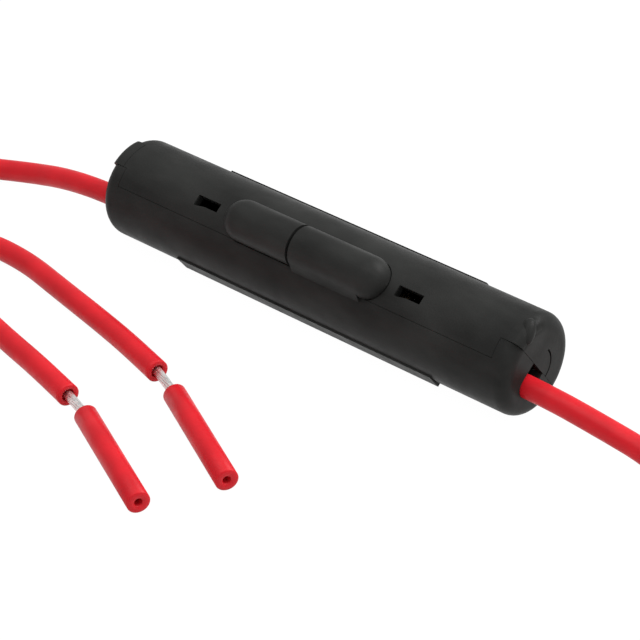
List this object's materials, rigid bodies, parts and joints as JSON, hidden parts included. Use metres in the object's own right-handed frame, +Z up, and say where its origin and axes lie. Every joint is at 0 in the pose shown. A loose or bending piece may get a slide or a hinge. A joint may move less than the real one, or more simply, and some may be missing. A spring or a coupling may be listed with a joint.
{
  "type": "inline fuse holder",
  "caption": "Round black inline fuse holder, hinged along its side, with a glass cartridge fuse inside and a red lead with a stripped end from each end.",
  "frame": {"origin": "on the floor under the middle of the holder, which lies on its round back and the lower edge of one rail", "axes": "+X along the holder towards the end whose lead runs to the right, +Z up, hinge barrel towards -Y and up"},
  "size_m": [0.1509, 0.0872, 0.0156],
  "materials": {
    "holder_plastic": "satin moulded black polyamide",
    "pin_steel": "drawn steel pin",
    "fuse_glass": "clear glass tube",
    "cap_nickel": "nickel-plated brass caps",
    "element_wire": "tinned fusible wire",
    "contact_brass": "stamped spring brass",
    "lead_insulation": "soft red PVC insulation, slight gloss",
    "tinned_copper": "tinned copper strands"
  },
  "bodies": {
    "holder": {"base_shell": "holder_plastic", "hinge_pin": "pin_steel", "fuse_glass": "fuse_glass", "fuse_cap_left": "cap_nickel", "fuse_cap_right": "cap_nickel", "fuse_element": "element_wire", "contact_clip_left": "contact_brass", "contact_clip_right": "contact_brass", "lead_left": "lead_insulation", "lead_right": "lead_insulation", "lead_left_core": "tinned_copper", "lead_right_core": "tinned_copper", "lead_left_strands": "tinned_copper", "lead_right_strands": "tinned_copper", "lead_left_slug": "lead_insulation", "lead_right_slug": "lead_insulation"},
    "cover": {"cover_shell": "holder_plastic"}
  },
  "joints": [
    {"name": "cover_hinge", "type": "hinge", "parent": "holder", "child": "cover", "pos_m": [0, -0.00426, 0.01268], "axis": [1, 0, 0], "range_deg": [0, 105]}
  ]
}
